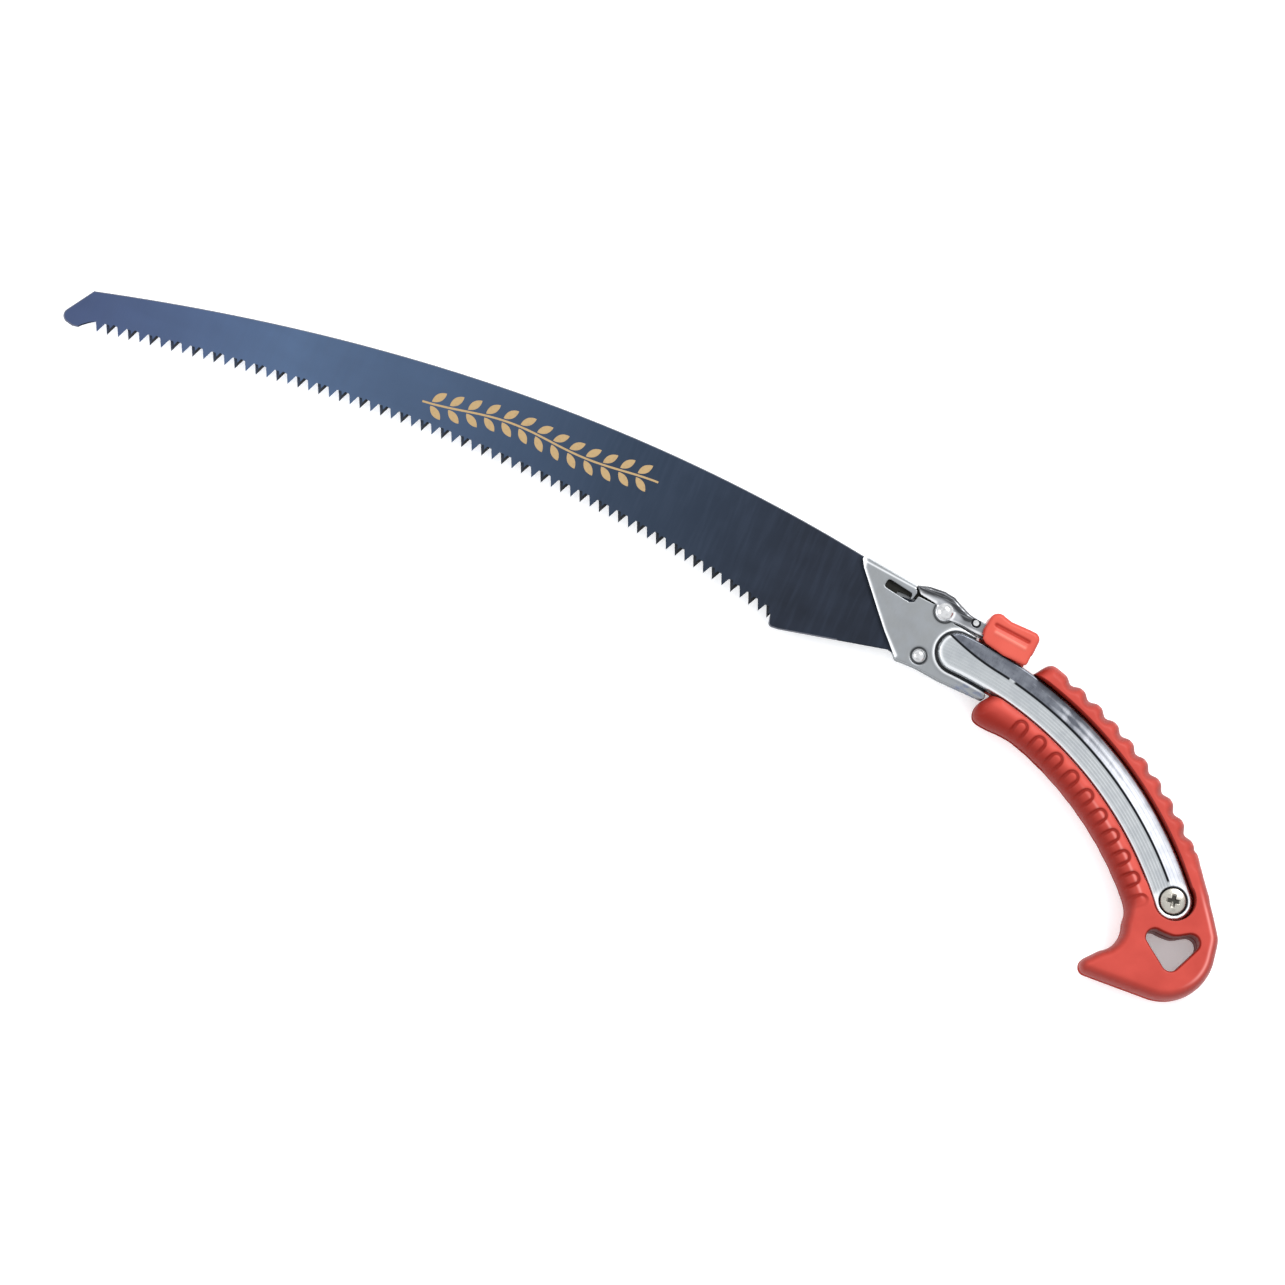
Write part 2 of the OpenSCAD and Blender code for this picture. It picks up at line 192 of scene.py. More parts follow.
def handle_block(radii, angles, heights, size):
    """The same, in steps of radius and of arc about the handle's centre, with its lowest corner."""
    low = (radii[0], math.radians(angles[0]) * ARM_R, heights[0])
    high = (radii[1], math.radians(angles[1]) * ARM_R, heights[1])
    axes = [np.arange(a, b + s, s) for a, b, s in zip(low, high, size)]
    r, run = np.meshgrid(axes[0], axes[1], indexing="ij")
    x, y = round_handle(r[:, :, None], run[:, :, None] / ARM_R)
    return x, y, axes[2][None, None, :], low


def from_handle_block(points):
    """Points of a mesh made on such a block, in drawing millimetres."""
    x, y = round_handle(points[:, 0], points[:, 1] / ARM_R)
    return np.stack([x, y, points[:, 2]], axis=1)


def surface(values, low, size):
    """The mesh of a field's zero level, as points and faces that look outwards."""
    far = 4 * np.max(size)
    values = np.ascontiguousarray(np.clip(values, -far, far), dtype=np.float32)
    grid = openvdb.FloatGrid(far)
    grid.copyFromArray(values)
    points, quads = grid.convertToQuads(isovalue=0.0)
    points = points * np.array(size) + np.array(low)
    a, b, c, d = (points[quads[:, i]] for i in range(4))
    volume = np.einsum("ij,ij->", a, np.cross(b, c)) + np.einsum("ij,ij->", a, np.cross(c, d))
    if volume < 0:
        quads = quads[:, ::-1]
    return points, quads.tolist()


def piece(name, points, faces, body, material, stands_for, marks=None, sharp=None):
    """Makes a mesh from drawing millimetres and puts it on its body. Marks are for points or faces."""
    points = np.asarray(points, float)
    mesh = bpy.data.meshes.new(name)
    mesh.from_pydata((points * MM + PIVOT).tolist(), [], faces)
    mesh.validate()
    mesh.shade_smooth()
    if sharp is not None:
        mesh.set_sharp_from_angle(angle=math.radians(sharp))
    for mark, values in (marks or {}).items():
        domain = "POINT" if len(values) == len(points) else "FACE"
        held = mesh.attributes.new(mark, "FLOAT", domain)
        held.data.foreach_set("value", np.asarray(values, np.float32))
    mesh.materials.append(material)
    made = bpy.data.objects.new(name, mesh)
    bpy.context.scene.collection.objects.link(made)
    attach(made, body)
    if stands_for:
        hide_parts(*stands_for)
    return made


def mirrored(points, faces):
    """The same mesh on the right side."""
    return points * np.array([1, 1, -1]), [face[::-1] for face in faces]


def lathe(profile, at, n=72):
    """A round solid from (radius, z) points, given from the axis at the top to the axis below."""
    points, rings, faces = [], [], []
    for r, z in profile:
        if r < 1e-6:
            rings.append([len(points)] * n)
            points.append((at[0], at[1], z))
        else:
            rings.append(list(range(len(points), len(points) + n)))
            angles = [2 * math.pi * i / n for i in range(n)]
            points += [(at[0] + r * math.cos(a), at[1] + r * math.sin(a), z) for a in angles]
    for upper, lower in zip(rings, rings[1:]):
        for i in range(n):
            j = (i + 1) % n
            face = [upper[i], lower[i], lower[j], upper[j]]
            face = list(dict.fromkeys(face))
            if len(face) > 2:
                faces.append(face)
    return np.array(points), faces


def tube(path, radius, n=12):
    """A round wire along a line of points, closed at both ends."""
    path = np.asarray(path, float)
    along = np.gradient(path, axis=0)
    along /= np.linalg.norm(along, axis=1)[:, None]
    side = np.cross(along[0], (0.3, 0.5, 0.8))
    points, faces = [], []
    for centre, direction in zip(path, along):
        side = side - direction * (side @ direction)
        side /= np.linalg.norm(side)
        other = np.cross(direction, side)
        for i in range(n):
            a = 2 * math.pi * i / n
            points.append(centre + radius * (math.cos(a) * side + math.sin(a) * other))
    for k in range(len(path) - 1):
        for i in range(n):
            j = (i + 1) % n
            faces.append([k * n + i, k * n + j, (k + 1) * n + j, (k + 1) * n + i])
    faces.append(list(range(n))[::-1])
    faces.append([(len(path) - 1) * n + i for i in range(n)])
    return np.array(points), faces


# ------------------------------ materials


class Finish:
    """Builds one procedural material on the Principled shader. Lengths are in millimetres."""

    def __init__(self, name, colour, metallic, roughness):
        self.material = bpy.data.materials.new(name)
        self.material.use_nodes = True
        self.tree = self.material.node_tree
        self.shader = self.tree.nodes["Principled BSDF"]
        self.shader.inputs["Metallic"].default_value = metallic
        self.place = self.node("ShaderNodeTexCoord").outputs["Object"]
        self.colour = self.plain(colour)
        self.rough = self.value(roughness)
        self.height = None

    def node(self, kind, **values):
        made = self.tree.nodes.new(kind)
        for key, value in values.items():
            setattr(made, key, value)
        return made

    def link(self, source, target):
        self.tree.links.new(source, target)

    def plain(self, colour):
        made = self.node("ShaderNodeRGB")
        made.outputs[0].default_value = (*colour, 1)
        return made.outputs[0]

    def value(self, number):
        made = self.node("ShaderNodeValue")
        made.outputs[0].default_value = number
        return made.outputs[0]

    def noise(self, size, detail=3, stretch=(1, 1, 1), turn=0, low=0.3, high=0.7):
        """Noise of about that size in millimetres, from 0 to 1."""
        mapping = self.node("ShaderNodeMapping")
        mapping.inputs["Rotation"].default_value = (0, 0, math.radians(turn))
        mapping.inputs["Scale"].default_value = [s / (size * MM) for s in stretch]
        self.link(self.place, mapping.inputs["Vector"])
        noise = self.node("ShaderNodeTexNoise")
        noise.inputs["Scale"].default_value = 1
        noise.inputs["Detail"].default_value = detail
        self.link(mapping.outputs[0], noise.inputs["Vector"])
        return self.ramp(noise.outputs["Fac"], low, high)

    def ramp(self, source, low, high, first=0, last=1):
        made = self.node("ShaderNodeMapRange")
        for key, number in zip(("From Min", "From Max", "To Min", "To Max"), (low, high, first, last)):
            made.inputs[key].default_value = number
        self.link(source, made.inputs["Value"])
        return made.outputs["Result"]

    def mark(self, name):
        """A value that the mesh holds at each point or face."""
        return self.node("ShaderNodeAttribute", attribute_name=name).outputs["Fac"]

    def waves(self, name, pace):
        """The sine of a mark times pace, from -1 to 1."""
        return self.maths("SINE", self.maths("MULTIPLY", self.mark(name), pace), 0)

    def along(self, axis):
        """Where a point lies along X, Y or Z of the row's frame, in metres."""
        made = self.node("ShaderNodeSeparateXYZ")
        self.link(self.place, made.inputs[0])
        return made.outputs[axis]

    def steep(self, flat, upright):
        """1 where the surface stands upright and 0 where it lies flat."""
        parts = self.node("ShaderNodeSeparateXYZ")
        self.link(self.node("ShaderNodeNewGeometry").outputs["Normal"], parts.inputs[0])
        return self.ramp(self.maths("ABSOLUTE", parts.outputs["Z"], 0), flat, upright)

    def maths(self, operation, a, b):
        made = self.node("ShaderNodeMath", operation=operation)
        for socket, value in zip(made.inputs, (a, b)):
            if isinstance(value, (int, float)):
                socket.default_value = value
            else:
                self.link(value, socket)
        return made.outputs[0]

    def tint(self, mask, colour, amount=1.0):
        """Mixes a colour in where mask is 1."""
        mix = self.node("ShaderNodeMix", data_type="RGBA")
        self.link(self.maths("MULTIPLY", mask, amount), mix.inputs["Factor"])
        self.link(self.colour, mix.inputs["A"])
        mix.inputs["B"].default_value = (*colour, 1)
        self.colour = mix.outputs["Result"]

    def rougher(self, mask, amount):
        self.rough = self.maths("ADD", self.rough, self.maths("MULTIPLY", mask, amount))

    def raise_by(self, mask, depth):
        """Adds relief of that depth in millimetres."""
        part = self.maths("MULTIPLY", mask, depth * MM)
        self.height = part if self.height is None else self.maths("ADD", self.height, part)

    def done(self, **sockets):
        self.link(self.colour, self.shader.inputs["Base Color"])
        self.link(self.rough, self.shader.inputs["Roughness"])
        if self.height is not None:
            made = self.node("ShaderNodeBump")
            made.inputs["Strength"].default_value = 1
            made.inputs["Distance"].default_value = 1
            self.link(self.height, made.inputs["Height"])
            self.link(made.outputs[0], self.shader.inputs["Normal"])
        for key, value in sockets.items():
            self.shader.inputs[key.replace("_", " ")].default_value = value
        return self.material


def blade_finish():
    """Blued steel, brighter blue towards the tip and painted near black as shade under the handle, with
    fine grinding lines, painted highlights on the edge chamfers and painted shade on the ground tooth
    faces.
    """
    finish = Finish("blued_steel", (0.051, 0.072, 0.150), 0.8, 0.34)
    x = finish.along("X")
    finish.tint(finish.ramp(x, -0.29, -0.19), (0.068, 0.110, 0.195))
    finish.tint(finish.ramp(x, -0.19, -0.04), (0.024, 0.040, 0.069))
    # Painted shade: the blade turns near black under and next to the cheek, where the handle shades it.
    finish.tint(finish.ramp(x, -0.05, 0.05), (0.011, 0.0145, 0.023))
    finish.tint(finish.noise(34, 4, (1, 2.5, 1)), (0.032, 0.045, 0.074), 0.2)
    streak = finish.noise(2.2, 4, (1, 0.1, 1), turn=-20, low=0.45, high=0.7)
    finish.tint(streak, (0.060, 0.080, 0.125), 0.09)
    # Painted highlight: chamfers of the back, belly and nose are painted pale as if catching light, fading
    # out towards the pivot.
    finish.tint(finish.mark("shoulder"), (0.16, 0.165, 0.19), 0.8)
    # Painted shade: ground tooth faces are painted near black, full on faces that look towards +X and less
    # on the others.
    finish.tint(finish.mark("ground"), (0.010, 0.011, 0.013), 0.95)
    grind = finish.noise(0.5, 2, (1, 0.03, 1), turn=8)
    finish.rougher(grind, 0.1)
    finish.rougher(finish.noise(9, 5), 0.1)
    finish.raise_by(grind, 0.004)
    return finish.done()


def gold_finish():
    """A thin gold print, a little worn."""
    finish = Finish("gold_print", (0.37, 0.25, 0.115), 0.3, 0.45)
    finish.tint(finish.noise(1.2, 4, low=0.5, high=0.75), (0.25, 0.17, 0.085), 0.5)
    finish.rougher(finish.noise(2, 3), 0.15)
    return finish.done()


def frame_finish():
    """Plated sheet: satin on the cheek, polished with drawn streaks on the arm, and painted reflections,
    highlights and shade on the arm's outer facet, edges, crest and grooves.
    """
    finish = Finish("plated_sheet", (0.245, 0.255, 0.262), 0.95, 0.32)
    polish = finish.mark("polish")
    crest = finish.mark("crest")
    finish.tint(polish, (0.42, 0.44, 0.45))
    lines = finish.ramp(finish.waves("radius", 4.6), -0.2, 1)
    rear = finish.maths("MULTIPLY", polish, finish.ramp(finish.mark("turn"), 84, 62, 0.25, 1))
    finish.tint(finish.maths("MULTIPLY", lines, rear), (0.62, 0.64, 0.65), 0.7)
    # Painted reflection: the arm's outer facet is painted bright, in slow bands, and near black towards
    # the front in wavy streaks.
    outer = finish.maths("MULTIPLY", polish, finish.ramp(crest, 0.2, 0.6))
    finish.tint(outer, (0.70, 0.71, 0.75))
    slow = finish.ramp(finish.waves("radius", 3.7), 0.3, 1)
    finish.tint(finish.maths("MULTIPLY", outer, slow), (0.47, 0.49, 0.56), 0.6)
    drift = finish.ramp(finish.noise(9, 3, (1, 0.25, 1), turn=-35), 0, 1, -5, 5)
    wavy = finish.maths("ADD", finish.mark("turn"), drift)
    bands = finish.ramp(finish.waves("radius", 2.1), -1, 1, 0, 7)
    dark = finish.ramp(finish.maths("ADD", wavy, bands), 61, 76)
    finish.tint(finish.maths("MULTIPLY", outer, dark), (0.050, 0.056, 0.072), 0.94)
    stain = finish.noise(3.2, 4, (1, 1.6, 1), low=0.45, high=0.6)
    finish.tint(finish.maths("MULTIPLY", finish.mark("tail"), stain), (0.12, 0.145, 0.23), 0.75)
    finish.tint(finish.noise(6, 5, low=0.42, high=0.62), (0.26, 0.28, 0.31), 0.25)
    # Painted highlight: near white along the cheek's front and top edges, the lip, the arm's shoulder and
    # the ring round the screw.
    finish.tint(finish.mark("edge"), (0.93, 0.94, 0.95), 0.95)
    # Painted reflection: a near black line along the arm's crest.
    line = finish.ramp(finish.maths("ABSOLUTE", crest, 0), 0.72, 0.42)
    finish.tint(finish.maths("MULTIPLY", line, finish.mark("painted_crest_line")), (0.008, 0.009, 0.011))
    # Painted shade: near black in the groove at the arm's foot and round the pivot, lever and screw rings.
    finish.tint(finish.mark("crease_shade"), (0.008, 0.009, 0.011))
    grain = finish.noise(0.6, 3, (1, 0.2, 1), turn=-60)
    finish.rougher(grain, 0.08)
    finish.rougher(finish.maths("MULTIPLY", polish, -1), 0.10)
    finish.rougher(finish.noise(12, 4), 0.07)
    finish.raise_by(grain, 0.003)
    return finish.done()


def lever_finish():
    """Brushed and plated steel of the lever, with painted dark reflection on the rolled roof, painted
    shade towards its rear and in the spring's recess, and painted highlights at edges.
    """
    finish = Finish("brushed_sheet", (0.42, 0.43, 0.45), 0.95, 0.2)
    streak = finish.noise(1.1, 3, (0.12, 1, 1), turn=-15)
    finish.tint(streak, (0.22, 0.23, 0.25), 0.45)
    # Painted reflection: the rolled roof is painted near black with paler streaks, and the rear at half
    # strength as painted shade.
    finish.tint(finish.mark("roll"), (0.030, 0.031, 0.034), 0.95)
    fine = finish.noise(0.9, 3, (0.1, 1, 1), turn=-15, low=0.5, high=0.62)
    finish.tint(finish.maths("MULTIPLY", fine, finish.mark("roll")), (0.22, 0.225, 0.235), 0.6)
    # Painted highlight: near white round the rivet boss and along the walls' lower edges.
    finish.tint(finish.mark("edge"), (0.92, 0.92, 0.93), 0.9)
    # Painted shade: near black in the recess round the spring's end.
    finish.tint(finish.mark("recess"), (0.015, 0.016, 0.02), 0.95)
    finish.rougher(streak, 0.18)
    finish.raise_by(streak, 0.01)
    return finish.done()


def plastic_finish(name, colour, deep, pale, roughness):
    """Moulded plastic: fine grain, slight mottling, painted shade on upright sides and in hollows, and
    paler painted highlights.
    """
    finish = Finish(name, colour, 0.0, roughness)
    finish.tint(finish.noise(14, 4), deep, 0.25)
    # Painted shade: upright sides are painted towards the deep colour.
    finish.tint(finish.steep(0.92, 0.45), deep, 0.85)
    # Painted shade in grooves, hollows and recesses.
    finish.tint(finish.mark("hollow"), deep, 0.88)
    # Painted highlight: rib tops, the finger side's upper face and the cap's ridge are painted paler.
    finish.tint(finish.mark("painted_highlight"), pale, 0.55)
    # Painted highlight: a bright line inside the pommel's outer edge and along the finger pads.
    finish.tint(finish.mark("painted_shine"), (0.80, 0.33, 0.30), 0.75)
    grain = finish.noise(0.35, 2)
    finish.rougher(grain, 0.06)
    finish.rougher(finish.noise(7, 4), 0.08)
    finish.raise_by(grain, 0.012)
    finish.raise_by(finish.noise(3, 2), 0.03)
    return finish.done(Specular_IOR_Level=0.12)


def metal_finish(name, colour, roughness, turned=False):
    """Plain fasteners and inner parts: turned or tumbled metal with small nicks."""
    finish = Finish(name, colour, 0.95, roughness)
    finish.tint(finish.noise(2.5, 5, low=0.5, high=0.72), tuple(c * 0.45 for c in colour), 0.6)
    # Painted shade: near black in the screw's cross.
    finish.tint(finish.mark("hollow"), (0.02, 0.018, 0.016), 0.9)
    fine = finish.noise(0.3, 2, (1, 1, 0.15) if turned else (1, 1, 1))
    finish.rougher(fine, 0.16)
    finish.raise_by(fine, 0.006)
    return finish.done()


def nylon_finish():
    """Plain washers."""
    finish = Finish("nylon", (0.72, 0.71, 0.66), 0.0, 0.5)
    finish.tint(finish.noise(1.5, 4), (0.55, 0.53, 0.46), 0.4)
    finish.rougher(finish.noise(0.6, 3), 0.12)
    finish.raise_by(finish.noise(0.4, 2), 0.01)
    return finish.done()


# ------------------------------ blade


def spine_y(x):
    """The blade's back."""
    u = x / 100
    return 24.68 - 19.4 * u - 7.1 * u**2 - 0.19 * u**3


def belly_y(x):
    """The lower edge between the heel and the tang."""
    return 0.47 + 0.237 * x


def tooth_y(x):
    """The line through the teeth's tips."""
    u = x / 100
    return -32 - 37.3 * u - 11.1 * u**2 - 0.68 * u**3


TANG = [(-34, 29.6), (-27.3, 28.6), (-27.3, 19.3), (-19.7, 19.3), (-16.5, 21.6), (-6, 22.1)]
TANG += [(-1.3, 16.9), (5.4, 15.8), (7.4, 12), (7.4, 8), (6.2, 4)]


def inset(points, amount):
    """An open run of points moved to its left by amount."""
    p = np.asarray(points, float)
    run = np.gradient(p, axis=0)
    run /= np.linalg.norm(run, axis=1)[:, None]
    return p + amount * np.stack([-run[:, 1], run[:, 0]], axis=1)


BEVEL_T, BEVEL_W = 0.35, 0.45
GROUND_W = 1.15
TOOTH_GAP = 0.3


def chamfered(line):
    """For each point of an edge: its place on the back face, on the outline twice, and in front."""
    rows = []
    for outer, face in zip(line, inset(line, -BEVEL_W)):
        rows.append([(*face, -BLADE_HALF), (*outer, BEVEL_T - BLADE_HALF),
                     (*outer, BLADE_HALF - BEVEL_T), (*face, BLADE_HALF)])
    return rows


def toothed():
    """The same for the teeth, which are ground from alternate sides."""
    slope = (TOOTH_PITCH / 2 - TOOTH_GAP) / TOOTH_DEPTH
    shift = GROUND_W * math.hypot(1, slope)
    lift = shift / slope
    rows = []
    for i in range(TOOTH_COUNT):
        x = HEEL_X - 0.5 - i * TOOTH_PITCH
        left, right = x - TOOTH_PITCH / 2 + TOOTH_GAP, x + TOOTH_PITCH / 2 - TOOTH_GAP
        tip = (x, tooth_y(x))
        foot_r = (right, tooth_y(x + TOOTH_PITCH / 2) + TOOTH_DEPTH)
        foot_l = (left, tooth_y(x - TOOTH_PITCH / 2) + TOOTH_DEPTH)
        if i == 0:
            foot_r = (HEEL_X + 0.4, tooth_y(x) + 2.2)
        plain = [foot_r, foot_r, tip, foot_l, foot_l]
        ground = [foot_r, (foot_r[0] - shift, foot_r[1]), (x, tip[1] + lift),
                  (foot_l[0] + shift, foot_l[1]), foot_l]
        for a, b in zip(plain, ground):
            low, high = (a, b) if i % 2 == 0 else (b, a)
            rows.append([(*low, -BLADE_HALF)] * 2 + [(*high, BLADE_HALF)] * 2)
    return rows


def blade_edge():
    """All the corners once round the blade: back, tang and heel, then the teeth, then the nose."""
    run = [(x, spine_y(x)) for x in np.linspace(TIP_X + 8.5, -38, 48)]
    run += TANG + arc((0, 0), TANG_R, 0, -125, 16) + [(-9, -3.6), (-13.8, belly_y(-13.8))]
    run += [(x, belly_y(x)) for x in (-24, -36, -48, -58, -62)]
    run += arc((-64.8, -12.2), 2.3, -70, -150, 6)
    nose = [(TIP_X + 12.2, -12.5), (TIP_X + 9.6, -14.7), (TIP_X + 8.2, -16.3), (TIP_X + 5.5, -16.7)]
    nose += arc((TIP_X + 3.4, -12.8), 3.4, -100, -220, 10)
    return chamfered(run) + toothed() + chamfered(nose)


def blade():
    """The blade's mesh: three bands of faces round its edge, the pivot hole, and both flat faces."""
    corners = blade_edge()
    points, index = [], {}

    def number(p):
        """The number of a point, which is added if it is new."""
        key = tuple(round(float(v), 4) for v in p)
        if key not in index:
            index[key] = len(points)
            points.append(key)
        return index[key]

    rings = [[number(c[level]) for c in corners] for level in range(4)]
    faces = []
    for level in range(3):
        for i in range(len(corners)):
            j = (i + 1) % len(corners)
            face = [rings[level][i], rings[level][j], rings[level + 1][j], rings[level + 1][i]]
            face = list(dict.fromkeys(face))
            if len(face) > 2:
                faces.append(face)
    hole = arc((0, 0), BUSH_R, 0, 360, 40)[:-1]
    hole_rings = [[number((*p, z)) for p in hole] for z in (-BLADE_HALF, BLADE_HALF)]
    for i in range(len(hole)):
        j = (i + 1) % len(hole)
        faces.append([hole_rings[0][j], hole_rings[0][i], hole_rings[1][i], hole_rings[1][j]])
    for ring, round_hole, front in ((rings[0], hole_rings[0], False), (rings[3], hole_rings[1], True)):
        edge = list(dict.fromkeys(ring))
        loops = [[Vector(points[i]) for i in edge], [Vector(points[i]) for i in round_hole]]
        order = edge + round_hole
        for triangle in tessellate_polygon(loops):
            face = [order[k] for k in triangle]
            a, b, c = (np.array(points[i]) for i in face)
            up = np.cross(b - a, c - a)[2] > 0
            faces.append(face if up == front else face[::-1])
    return np.array(points), faces


def outward(points, faces):
    """Turns all faces of a closed mesh to look outwards."""
    volume = 0
    for face in faces:
        a = points[face[0]]
        for i in range(1, len(face) - 1):
            volume += a @ np.cross(points[face[i]], points[face[i + 1]])
    return faces if volume > 0 else [face[::-1] for face in faces]


def blade_marks(points, faces):
    """For each face: how much painted shade a ground tooth face gets, more where it looks towards +X, and
    how much painted highlight an edge's chamfer gets.
    """
    ground, shoulder = [], []
    for face in faces:
        corners = points[face]
        a, b = corners[1] - corners[0], corners[2] - corners[0]
        normal = np.cross(a, b)
        normal /= np.linalg.norm(normal) + 1e-12
        x, y = corners.mean(axis=0)[:2]
        sloped = 0.05 < abs(normal[2]) < 0.98
        teeth = y < tooth_y(x) + TOOTH_DEPTH + 0.5 and TIP_X + 8 < x < HEEL_X + 1
        # painted shade on the ground faces, by which way they look
        ground.append((1.0 if normal[0] > 0 else 0.7) if sloped and teeth else 0.0)
        # painted highlight on the chamfers, fading out towards the pivot
        shoulder.append(float(step(-30, -45, x)) if sloped and not teeth else 0.0)
    return {"ground": ground, "shoulder": shoulder}


def leaf(at, angle, length, width):
    """A plain pointed leaf."""
    c, s = math.cos(math.radians(angle)), math.sin(math.radians(angle))
    upper = [(t * length, width / 2 * math.sin(math.pi * t) ** 0.8) for t in np.linspace(0, 1, 11)]
    lower = [(x, -y) for x, y in upper[-2:0:-1]]
    return [(at[0] + c * x - s * y, at[1] + s * x + c * y) for x, y in upper + lower]


def prism(outline, z0, z1):
    """A flat piece with that outline."""
    n = len(outline)
    points = [(*p, z0) for p in outline] + [(*p, z1) for p in outline]
    faces = [list(range(n, 2 * n)), list(range(n))[::-1]]
    faces += [[i, (i + 1) % n, (i + 1) % n + n, i + n] for i in range(n)]
    return np.array(points), faces


def sprig():
    """The print on the blade: a waved stem with pairs of leaves."""
    bottom, top, half_w = BLADE_HALF - 0.05, BLADE_HALF + 0.02, 0.45
    stem = [(x, spine_y(x) - 15.5 + 1.5 * math.sin(x / 12)) for x in np.linspace(-246, -136, 56)]
    ribbon = inset(stem, half_w).tolist() + inset(stem, -half_w).tolist()[::-1]
    parts = [prism(ribbon, bottom, top)]
    for (x, y), (next_x, next_y) in zip(stem[2:-2:4], stem[3::4]):
        heading = math.degrees(math.atan2(next_y - y, next_x - x))
        for side in (1, -1):
            parts.append(prism(leaf((x, y + side), heading + 42 * side, 7.6, 3.4), bottom, top))
    return merged([(p, outward(p, f)) for p, f in parts])


# ------------------------------ frame

CHEEK = [(-37.6, 26.2)] + arc((-38.3, 30.0), 1.4, 200, 80, 8)
CHEEK += [(-13.2, 28.4), (-10.6, 24.4), (-3, 24)] + arc(LEVER_AT, 5.2, 150, 20, 14)
CHEEK += [(9, 19.4), (14, 18.9), (20.6, 17.9), (21, 16), (11, 12), (24, 0), (32.5, -2)]
CHEEK += arc((32.3, -5.2), 1.8, 10, -80, 8) + [(12.2, -6.6), (1, -5.5), (-6, -5.6)]
CHEEK += arc((-8, -3.6), 2.2, -100, -150, 6) + [(-18.5, 4.1), (-25.4, 12), (-32.5, 20.3)]
FRONT_EDGE = [(-38.8, 30.6), (-37.6, 26.2), (-32.5, 20.3), (-25.4, 12), (-18.5, 4.1), (-9.9, -4.2)]
TOP_EDGE = [(-38.8, 30.6), (-13.2, 28.4)]
WINDOW_AT, WINDOW_TURN = (-19.6, 23.3), -9
WINDOW_HALF, WINDOW_R = (5.2, 0.9), 1.1
SLIT, SLIT_HALF = [(-13.4, 20.8), (-11.8, 21.6), (-11, 24.8)], 0.55
PIVOT_RING_R = 3.5
PIVOT_HOLE_R = 2.1
LEVER_HOLE_R = 1.9
SCREW_RECESS_R = 6.45
SCREW_HOLE_R = 2.6
DIMPLE_R = 7.9
PLATE_T = 1.5
LIP_AT = 10.3


def arm_distance(x, y):
    """Distance from the arm's middle line."""
    r, a = polar(x, y)
    along = np.abs(r - ARM_R)
    ends = [around(c, x, y) for c in (SCREW_AT, on_arc(ARM_R, ARM_FRONT))]
    return np.where((a > SCREW_A) & (a < ARM_FRONT), along, np.minimum(*ends))


def crease_offset(x, y):
    """How far a point lies outside the arm's creased crest, which curves up at the front."""
    r, a = polar(x, y)
    return r - (ARM_R + 0.6 + 0.075 * np.maximum(a - 82, 0) ** 2)


def arm_top(x, y):
    """Height of the arm's outer face: two gently sloped facets and a round shoulder."""
    d = arm_distance(x, y)
    off = crease_offset(x, y)
    facet = np.where(off > 0, 0.10, 0.04) * np.abs(off)
    shoulder = np.clip((d - 7.7) / 1.3, 0, 1)
    top = ARM_H - 0.1 - facet
    return PLATE_OUT - 1.2 + (top - PLATE_OUT + 1.2) * np.sqrt(np.maximum(1 - shoulder**2, 0))


def window_distance(x, y):
    """Distance from the cheek's window and the slit beside it."""
    c, s = math.cos(math.radians(WINDOW_TURN)), math.sin(math.radians(WINDOW_TURN))
    u = c * (x - WINDOW_AT[0]) + s * (y - WINDOW_AT[1])
    v = -s * (x - WINDOW_AT[0]) + c * (y - WINDOW_AT[1])
    past = [np.maximum(np.abs(w) - half, 0) for w, half in zip((u, v), WINDOW_HALF)]
    return np.minimum(np.hypot(*past) - WINDOW_R, path_distance(SLIT, x, y) - SLIT_HALF)


def frame_side(windowed):
    """One pressed side plate: the flat cheek, and the raised arm with its recess for the screw."""
    size = (0.25, 0.5, 0.3)
    x, y, z, low = handle_block((157, 208.5), (37, 105.5), (0.6, 7.9), size)
    cheek = outline_distance(CHEEK, x, y)
    arm = arm_distance(x, y)
    r, a = polar(x, y)
    lip = 0.45 * bump(arm - LIP_AT, 0.75) * step(89, 91, a + 9 * (r < ARM_R))
    flat = common(cheek, np.maximum(z - PLATE_OUT - lip, PLATE_IN - z), 0.35)
    solid = np.maximum(np.maximum(arm - ARM_W / 2, z - arm_top(x, y)), PLATE_IN - z)
    shape = join(flat, solid, 0.5)
    groove = 0.75 * bump(arm - 9.25, 0.42) * step(79, 82, a)
    shape = shape + groove * step(PLATE_OUT - 1.2, PLATE_OUT - 0.4, z)
    inner = np.maximum(arm - ARM_W / 2 + PLATE_T, z - arm_top(x, y) + PLATE_T)
    shape = cut(shape, inner, 0.2)
    from_screw = around(SCREW_AT, x, y)
    dimple = np.maximum(from_screw - DIMPLE_R, np.abs(z - 3.2) - PLATE_T / 2)
    shape = np.minimum(shape, dimple)
    shape = cut(shape, np.maximum(from_screw - SCREW_RECESS_R, 3.95 - z), 0.3)
    shape = cut(shape, from_screw - SCREW_HOLE_R, 0.1)
    from_pivot = np.hypot(x, y)
    shape = shape + 0.6 * bump(from_pivot - PIVOT_RING_R, 0.5) * (z > 2)
    shape = cut(shape, from_pivot - PIVOT_HOLE_R, 0.1)
    from_lever = around(LEVER_AT, x, y)
    shape = cut(shape, from_lever - LEVER_HOLE_R, 0.1)
    if windowed:
        shape = cut(shape, window_distance(x, y), 0.3)
    points, faces = surface(shape, low, size)
    points = from_handle_block(points)
    return points, faces, frame_marks(*points.T)


